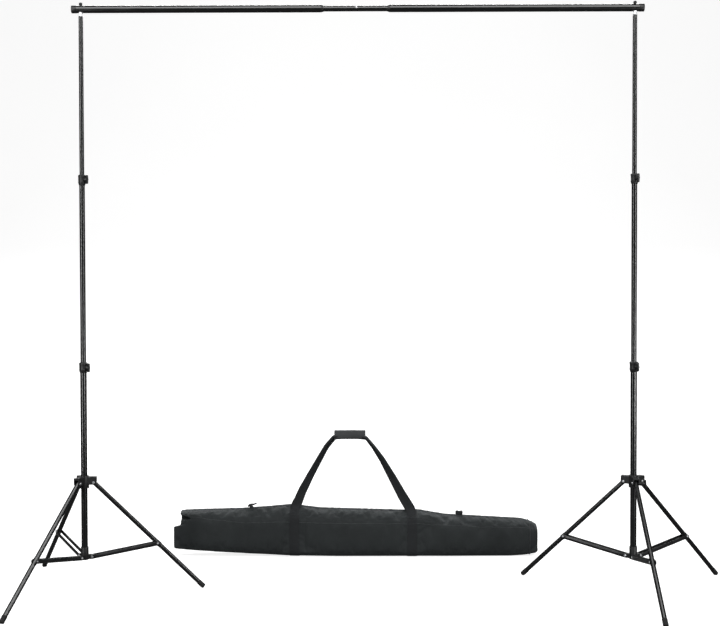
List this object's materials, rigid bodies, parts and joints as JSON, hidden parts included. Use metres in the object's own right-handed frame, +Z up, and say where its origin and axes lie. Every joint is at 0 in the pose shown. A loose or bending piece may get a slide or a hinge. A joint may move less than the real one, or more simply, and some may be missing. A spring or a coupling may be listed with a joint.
{
  "type": "background support system",
  "caption": "Freestanding backdrop frame: two folding light stands carry a telescoping crossbar, with a zipped carry bag for the set.",
  "frame": {"origin": "on the floor, midway between the two masts", "axes": "+X along the crossbar to the right-hand stand as seen from the front, +Y to the back, +Z up"},
  "size_m": [2.5285, 1.0042, 2.0468],
  "materials": {
    "tube_enamel": "satin",
    "bar_enamel": "satin",
    "brace_enamel": "satin",
    "collar_plastic": "matte",
    "knob_plastic": "satin",
    "bar_plastic": "matte",
    "foot_rubber": "matte",
    "bright_steel": "satin",
    "bag_nylon": "matte",
    "webbing": "matte",
    "grip_wrap": "matte"
  },
  "bodies": {
    "left_base": {"left_lower_tube": "tube_enamel", "left_brace_hub": "collar_plastic", "left_lower_collar": "collar_plastic", "left_brace_rivets": "bright_steel"},
    "left_hub": {"left_leg_hub": "collar_plastic", "left_leg_rivets": "bright_steel"},
    "left_middle": {"left_middle_tube": "tube_enamel", "left_upper_collar": "collar_plastic"},
    "left_top": {"left_top_tube": "tube_enamel", "left_spigot": "bright_steel"},
    "left_nut": {"left_top_nut": "knob_plastic"},
    "left_hub_screw": {"left_hub_knob": "knob_plastic"},
    "left_lower_screw": {"left_lower_knob": "knob_plastic"},
    "left_upper_screw": {"left_upper_knob": "knob_plastic"},
    "left_front_strut": {"left_front_leg": "tube_enamel", "left_front_foot": "foot_rubber"},
    "left_front_link": {"left_front_brace": "brace_enamel"},
    "left_inner_strut": {"left_inner_leg": "tube_enamel", "left_inner_foot": "foot_rubber"},
    "left_inner_link": {"left_inner_brace": "brace_enamel"},
    "left_outer_strut": {"left_outer_leg": "tube_enamel", "left_outer_foot": "foot_rubber"},
    "left_outer_link": {"left_outer_brace": "brace_enamel"},
    "bar_left": {"crossbar_left_tube": "bar_enamel", "crossbar_left_bush": "bar_plastic", "crossbar_left_cap": "bar_plastic"},
    "bar_core": {"crossbar_left_core": "bar_enamel", "crossbar_right_core": "bar_enamel"},
    "snap": {"snap_button": "bright_steel"},
    "bar_right": {"crossbar_right_tube": "bar_enamel", "crossbar_right_bush": "bar_plastic", "crossbar_right_cap": "bar_plastic"},
    "right_base": {"right_lower_tube": "tube_enamel", "right_brace_hub": "collar_plastic", "right_lower_collar": "collar_plastic", "right_brace_rivets": "bright_steel"},
    "right_hub": {"right_leg_hub": "collar_plastic", "right_leg_rivets": "bright_steel"},
    "right_middle": {"right_middle_tube": "tube_enamel", "right_upper_collar": "collar_plastic"},
    "right_top": {"right_top_tube": "tube_enamel", "right_spigot": "bright_steel"},
    "right_nut": {"right_top_nut": "knob_plastic"},
    "right_hub_screw": {"right_hub_knob": "knob_plastic"},
    "right_lower_screw": {"right_lower_knob": "knob_plastic"},
    "right_upper_screw": {"right_upper_knob": "knob_plastic"},
    "right_front_strut": {"right_front_leg": "tube_enamel", "right_front_foot": "foot_rubber"},
    "right_front_link": {"right_front_brace": "brace_enamel"},
    "right_inner_strut": {"right_inner_leg": "tube_enamel", "right_inner_foot": "foot_rubber"},
    "right_inner_link": {"right_inner_brace": "brace_enamel"},
    "right_outer_strut": {"right_outer_leg": "tube_enamel", "right_outer_foot": "foot_rubber"},
    "right_outer_link": {"right_outer_brace": "brace_enamel"},
    "bag": {"bag_shell": "bag_nylon"},
    "handle": {"bag_handle": "webbing", "bag_grip": "grip_wrap"}
  },
  "joints": [
    {"name": "left_hub_slide", "type": "slide", "parent": "left_base", "child": "left_hub", "axis": [0, 0, 1], "range_m": [0, 0.27925]},
    {"name": "left_front_leg_hinge", "type": "hinge", "parent": "left_hub", "child": "left_front_strut", "pos_m": [-0.97142, -0.03015, 0.381], "axis": [0.9135, -0.4067, 0], "range_deg": [0, 43.12]},
    {"name": "left_front_brace_hinge", "type": "hinge", "parent": "left_base", "child": "left_front_link", "pos_m": [-0.9687, -0.02403, 0.121], "axis": [-0.9135, 0.4067, 0], "range_deg": [0, 75.3]},
    {"name": "left_inner_leg_hinge", "type": "hinge", "parent": "left_hub", "child": "left_inner_strut", "pos_m": [-0.92518, 0.00345, 0.381], "axis": [-0.1045, 0.9945, 0], "range_deg": [0, 43.12]},
    {"name": "left_inner_brace_hinge", "type": "hinge", "parent": "left_base", "child": "left_inner_link", "pos_m": [-0.93184, 0.00275, 0.121], "axis": [0.1045, -0.9945, 0], "range_deg": [0, 75.3]},
    {"name": "left_outer_leg_hinge", "type": "hinge", "parent": "left_hub", "child": "left_outer_strut", "pos_m": [-0.9774, 0.0267, 0.381], "axis": [-0.809, -0.5878, 0], "range_deg": [0, 43.12]},
    {"name": "left_outer_brace_hinge", "type": "hinge", "parent": "left_base", "child": "left_outer_link", "pos_m": [-0.97346, 0.02128, 0.121], "axis": [0.809, 0.5878, 0], "range_deg": [0, 75.3]},
    {"name": "left_hub_screw_turn", "type": "hinge", "parent": "left_hub", "child": "left_hub_screw", "pos_m": [-0.94173, 0.03654, 0.376], "axis": [0.4067, 0.9135, 0], "range_deg": [0, 450]},
    {"name": "left_lower_screw_turn", "type": "hinge", "parent": "left_base", "child": "left_lower_screw", "pos_m": [-0.93752, -0.01434, 0.783], "axis": [0.8192, -0.5736, 0], "range_deg": [0, 450]},
    {"name": "left_upper_screw_turn", "type": "hinge", "parent": "left_middle", "child": "left_upper_screw", "pos_m": [-0.93752, -0.01434, 1.435], "axis": [0.8192, -0.5736, 0], "range_deg": [0, 450]},
    {"name": "left_nut_turn", "type": "hinge", "parent": "left_top", "child": "left_nut", "pos_m": [-0.958, 0, 2.0408], "axis": [0, 0, 1], "range_deg": [0, 450]},
    {"name": "left_middle_slide", "type": "slide", "parent": "left_base", "child": "left_middle", "axis": [0, 0, 1], "range_m": [-0.59, 0]},
    {"name": "left_top_slide", "type": "slide", "parent": "left_middle", "child": "left_top", "axis": [0, 0, 1], "range_m": [-0.52, 0]},
    {"name": "left_swivel", "type": "hinge", "parent": "left_top", "child": "bar_left", "pos_m": [-0.958, 0, 2.0233], "axis": [0, 0, 1], "range_deg": [-90, 0]},
    {"name": "left_bar_slide", "type": "slide", "parent": "bar_left", "child": "bar_core", "axis": [1, 0, 0], "range_m": [-0.08, 0.5]},
    {"name": "right_bar_slide", "type": "slide", "parent": "bar_core", "child": "bar_right", "axis": [1, 0, 0], "range_m": [-0.08, 0.5]},
    {"name": "snap_press", "type": "slide", "parent": "bar_core", "child": "snap", "axis": [0, 0.9703, -0.2419], "range_m": [0, 0.0036], "stiffness_N_per_m": 400},
    {"name": "right_swivel", "type": "hinge", "parent": "bar_right", "child": "right_top", "pos_m": [0.958, 0, 2.0233], "axis": [0, 0, 1], "range_deg": [-90, 90]},
    {"name": "right_hub_slide", "type": "slide", "parent": "right_base", "child": "right_hub", "axis": [0, 0, 1], "range_m": [0, 0.27925]},
    {"name": "right_front_leg_hinge", "type": "hinge", "parent": "right_hub", "child": "right_front_strut", "pos_m": [0.958, -0.033, 0.381], "axis": [1, 0, 0], "range_deg": [0, 43.12]},
    {"name": "right_front_brace_hinge", "type": "hinge", "parent": "right_base", "child": "right_front_link", "pos_m": [0.958, -0.0263, 0.121], "axis": [-1, 0, 0], "range_deg": [0, 75.3]},
    {"name": "right_inner_leg_hinge", "type": "hinge", "parent": "right_hub", "child": "right_inner_strut", "pos_m": [0.92942, 0.0165, 0.381], "axis": [-0.5, -0.866, 0], "range_deg": [0, 43.12]},
    {"name": "right_inner_brace_hinge", "type": "hinge", "parent": "right_base", "child": "right_inner_link", "pos_m": [0.93522, 0.01315, 0.121], "axis": [0.5, 0.866, 0], "range_deg": [0, 75.3]},
    {"name": "right_outer_leg_hinge", "type": "hinge", "parent": "right_hub", "child": "right_outer_strut", "pos_m": [0.98658, 0.0165, 0.381], "axis": [-0.5, 0.866, 0], "range_deg": [0, 43.12]},
    {"name": "right_outer_brace_hinge", "type": "hinge", "parent": "right_base", "child": "right_outer_link", "pos_m": [0.98078, 0.01315, 0.121], "axis": [0.5, -0.866, 0], "range_deg": [0, 75.3]},
    {"name": "right_hub_screw_turn", "type": "hinge", "parent": "right_hub", "child": "right_hub_screw", "pos_m": [0.99264, -0.02, 0.376], "axis": [0.866, -0.5, 0], "range_deg": [0, 450]},
    {"name": "right_lower_screw_turn", "type": "hinge", "parent": "right_base", "child": "right_lower_screw", "pos_m": [0.96531, -0.02391, 0.783], "axis": [0.2924, -0.9563, 0], "range_deg": [0, 450]},
    {"name": "right_upper_screw_turn", "type": "hinge", "parent": "right_middle", "child": "right_upper_screw", "pos_m": [0.96531, -0.02391, 1.435], "axis": [0.2924, -0.9563, 0], "range_deg": [0, 450]},
    {"name": "right_nut_turn", "type": "hinge", "parent": "right_top", "child": "right_nut", "pos_m": [0.958, 0, 2.0408], "axis": [0, 0, 1], "range_deg": [0, 450]},
    {"name": "right_middle_slide", "type": "slide", "parent": "right_top", "child": "right_middle", "axis": [0, 0, -1], "range_m": [-0.52, 0]},
    {"name": "right_base_slide", "type": "slide", "parent": "right_middle", "child": "right_base", "axis": [0, 0, -1], "range_m": [-0.59, 0]},
    {"name": "bag_lift", "type": "slide", "parent": "left_base", "child": "bag", "axis": [0, 0, 1], "range_m": [0, 0.3]},
    {"name": "handle_swing", "type": "hinge", "parent": "bag", "child": "handle", "pos_m": [0, 0.52, 0.207], "axis": [1, 0, 0], "range_deg": [-80, 80]}
  ],
  "couplings": [
    {"joint": "left_front_leg_hinge", "follows": "left_hub_slide", "rad_per_m": 2.6952},
    {"joint": "left_front_brace_hinge", "follows": "left_hub_slide", "rad_per_m": 4.7064},
    {"joint": "left_inner_leg_hinge", "follows": "left_hub_slide", "rad_per_m": 2.6952},
    {"joint": "left_inner_brace_hinge", "follows": "left_hub_slide", "rad_per_m": 4.7064},
    {"joint": "left_outer_leg_hinge", "follows": "left_hub_slide", "rad_per_m": 2.6952},
    {"joint": "left_outer_brace_hinge", "follows": "left_hub_slide", "rad_per_m": 4.7064},
    {"joint": "right_front_leg_hinge", "follows": "right_hub_slide", "rad_per_m": 2.6952},
    {"joint": "right_front_brace_hinge", "follows": "right_hub_slide", "rad_per_m": 4.7064},
    {"joint": "right_inner_leg_hinge", "follows": "right_hub_slide", "rad_per_m": 2.6952},
    {"joint": "right_inner_brace_hinge", "follows": "right_hub_slide", "rad_per_m": 4.7064},
    {"joint": "right_outer_leg_hinge", "follows": "right_hub_slide", "rad_per_m": 2.6952},
    {"joint": "right_outer_brace_hinge", "follows": "right_hub_slide", "rad_per_m": 4.7064},
    {"joint": "right_middle_slide", "follows": "left_top_slide", "ratio": 1},
    {"joint": "right_base_slide", "follows": "left_middle_slide", "ratio": 1}
  ]
}
